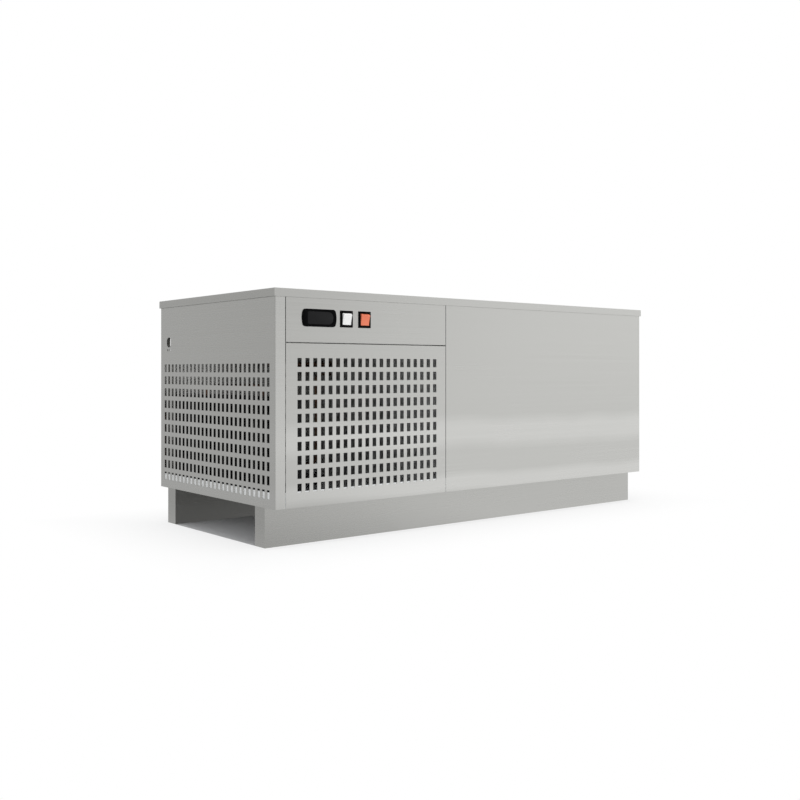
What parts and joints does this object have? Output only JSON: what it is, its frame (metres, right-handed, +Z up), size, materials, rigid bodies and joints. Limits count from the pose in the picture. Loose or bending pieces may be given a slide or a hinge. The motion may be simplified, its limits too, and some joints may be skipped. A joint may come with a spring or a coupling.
{
  "type": "recirculating chiller",
  "caption": "Low bench chiller: punched refrigeration bay with digital controller and rocker switches beside a lidded insulated reservoir, on two plinth rails.",
  "frame": {"origin": "on the floor, under the middle of the outline, from the rockers to the hose connections", "axes": "+X along the front from the refrigeration bay to the reservoir, +Y from the front to the back, +Z up"},
  "size_m": [1.105, 0.5286, 0.5],
  "materials": {
    "stainless": "brushed stainless steel",
    "galvanised": "galvanised steel sheet",
    "foam": "rigid foam",
    "black_plastic": "moulded, fine grain",
    "window": "smoked, glossy",
    "white_rocker": "satin moulding",
    "orange_rocker": "satin moulding",
    "brass": "turned brass",
    "copper": "drawn copper",
    "fins": "black coated fins",
    "black_sheet": "black powder coat",
    "compressor_paint": "black enamel",
    "fan_plastic": "moulded",
    "motor": "grey paint",
    "shaft_steel": "ground steel",
    "rubber": "black rubber",
    "evaporator": "pickled stainless steel",
    "pump_plastic": "moulded"
  },
  "bodies": {
    "cabinet": {"base_tray": "galvanised", "circulation_pump": "pump_plastic", "compressor_grommets": "rubber", "compressor_shell": "compressor_paint", "condenser": "fins", "condenser_end_plate_back": "galvanised", "condenser_end_plate_front": "galvanised", "condenser_pipe": "copper", "control_fascia": "stainless", "controller_clips": "black_plastic", "controller_housing": "black_plastic", "controller_window": "window", "discharge_pipe": "copper", "drain_fitting": "brass", "drain_plug": "brass", "electrical_box": "galvanised", "electrical_box_cover": "galvanised", "end_panel": "stainless", "evaporator_plate": "evaporator", "evaporator_spacers": "pump_plastic", "fan_bracket": "galvanised", "fan_motor": "motor", "fan_shroud": "black_sheet", "filter_drier": "copper", "front_cross_rail": "galvanised", "lid": "stainless", "lid_insulation": "foam", "liquid_pipe": "copper", "partition": "galvanised", "plinth_rail_back": "stainless", "plinth_rail_front": "stainless", "pump_riser": "pump_plastic", "pump_strainer": "pump_plastic", "rear_panel": "stainless", "reservoir_casing": "stainless", "reservoir_insulation": "foam", "return_fitting": "brass", "service_grille": "stainless", "suction_pipe": "copper", "supply_fitting": "brass", "switch_housing_orange": "black_plastic", "switch_housing_white": "black_plastic", "switch_terminals_orange": "brass", "switch_terminals_white": "brass", "tank_liner": "stainless", "temperature_probe": "shaft_steel", "terminal_cover": "black_plastic"},
    "white_rocker": {"rocker_white": "white_rocker"},
    "orange_rocker": {"rocker_orange": "orange_rocker"},
    "fan": {"fan_impeller": "fan_plastic", "fan_shaft": "shaft_steel"}
  },
  "joints": [
    {"name": "white_rocker_tilt", "type": "hinge", "parent": "cabinet", "child": "white_rocker", "pos_m": [-0.3852, -0.25551, 0.4455], "axis": [-1, 0, 0], "range_deg": [0, 26]},
    {"name": "orange_rocker_tilt", "type": "hinge", "parent": "cabinet", "child": "orange_rocker", "pos_m": [-0.3405, -0.25551, 0.4455], "axis": [-1, 0, 0], "range_deg": [0, 26]},
    {"name": "fan_spin", "type": "hinge", "parent": "cabinet", "child": "fan", "pos_m": [-0.446, -0.00771, 0.187], "axis": [1, 0, 0], "continuous": true}
  ]
}
